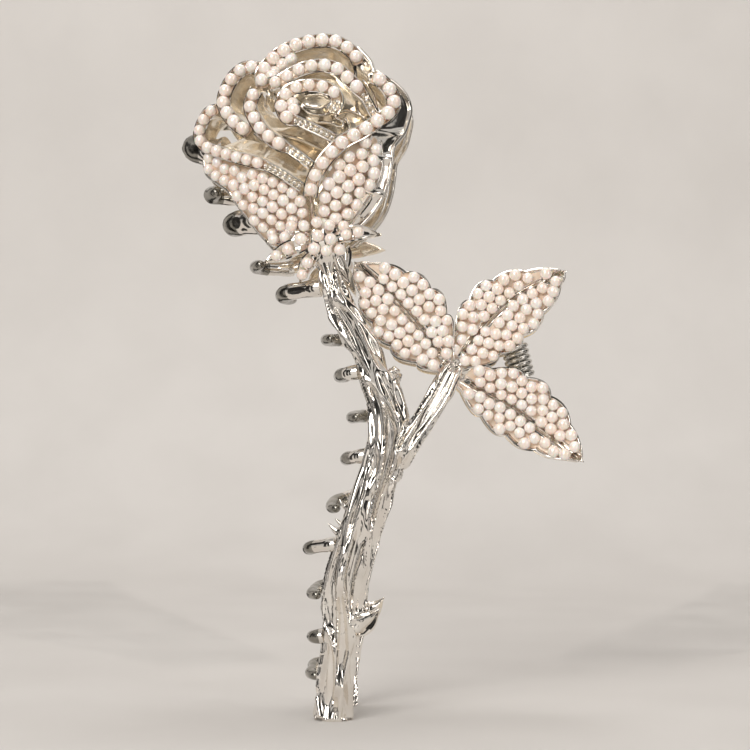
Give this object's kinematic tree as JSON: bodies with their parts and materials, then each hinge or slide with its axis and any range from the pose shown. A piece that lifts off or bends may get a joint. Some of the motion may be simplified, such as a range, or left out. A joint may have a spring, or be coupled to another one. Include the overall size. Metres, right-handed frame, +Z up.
{
  "type": "hair claw clip",
  "caption": "Metal hair claw shaped like a long-stemmed rose, with pearl-covered leaves and petals, two mirrored jaws with curved teeth on a sprung hinge.",
  "frame": {"origin": "middle of the gap between the jaws that holds the hair, on the mid-plane between them", "axes": "+Z up the stem to the flower, +X to the two thumb leaves, -Y out of the front jaw"},
  "size_m": [0.0736, 0.038, 0.1243],
  "materials": {
    "cast_metal": "polished pale gold plating on a zinc casting",
    "spring_steel": "bright drawn wire and pin",
    "pearl": "ivory imitation pearl with a soft sheen"
  },
  "bodies": {
    "back_jaw": {"back_stem": "cast_metal", "back_branch": "cast_metal", "back_calyx": "cast_metal", "back_leaf_left": "cast_metal", "back_pearls_leaf_left": "pearl", "back_leaf_upper": "cast_metal", "back_pearls_leaf_upper": "pearl", "back_leaf_lower": "cast_metal", "back_pearls_leaf_lower": "pearl", "back_petal_top_back": "cast_metal", "back_petal_top_front": "cast_metal", "back_petal_heart": "cast_metal", "back_petal_left_inner": "cast_metal", "back_petal_left_middle": "cast_metal", "back_petal_left_outer": "cast_metal", "back_petal_right": "cast_metal", "back_petal_right_outer": "cast_metal", "back_petal_base_left": "cast_metal", "back_pearls_petal_base_left": "pearl", "back_petal_base_right": "cast_metal", "back_pearls_petal_base_right": "pearl", "back_tooth_1": "cast_metal", "back_tooth_2": "cast_metal", "back_tooth_3": "cast_metal", "back_tooth_4": "cast_metal", "back_tooth_5": "cast_metal", "back_tooth_6": "cast_metal", "back_tooth_7": "cast_metal", "hinge_pin": "spring_steel", "torsion_spring": "spring_steel"},
    "front_jaw": {"front_stem": "cast_metal", "front_branch": "cast_metal", "front_calyx": "cast_metal", "front_leaf_left": "cast_metal", "front_pearls_leaf_left": "pearl", "front_leaf_upper": "cast_metal", "front_pearls_leaf_upper": "pearl", "front_leaf_lower": "cast_metal", "front_pearls_leaf_lower": "pearl", "front_petal_top_back": "cast_metal", "front_petal_top_front": "cast_metal", "front_petal_heart": "cast_metal", "front_petal_left_inner": "cast_metal", "front_petal_left_middle": "cast_metal", "front_petal_left_outer": "cast_metal", "front_petal_right": "cast_metal", "front_petal_right_outer": "cast_metal", "front_petal_base_left": "cast_metal", "front_pearls_petal_base_left": "pearl", "front_petal_base_right": "cast_metal", "front_pearls_petal_base_right": "pearl", "front_tooth_1": "cast_metal", "front_tooth_2": "cast_metal", "front_tooth_3": "cast_metal", "front_tooth_4": "cast_metal", "front_tooth_5": "cast_metal", "front_tooth_6": "cast_metal", "front_tooth_7": "cast_metal"}
  },
  "joints": [
    {"name": "jaw_hinge", "type": "hinge", "parent": "back_jaw", "child": "front_jaw", "pos_m": [0.018, 0, 0.0041], "axis": [-0.2419, 0, 0.9703], "range_deg": [0, 50], "stiffness_Nm_per_rad": 0.07, "springref_deg": -45.84, "deforming": ["torsion_spring"]}
  ]
}
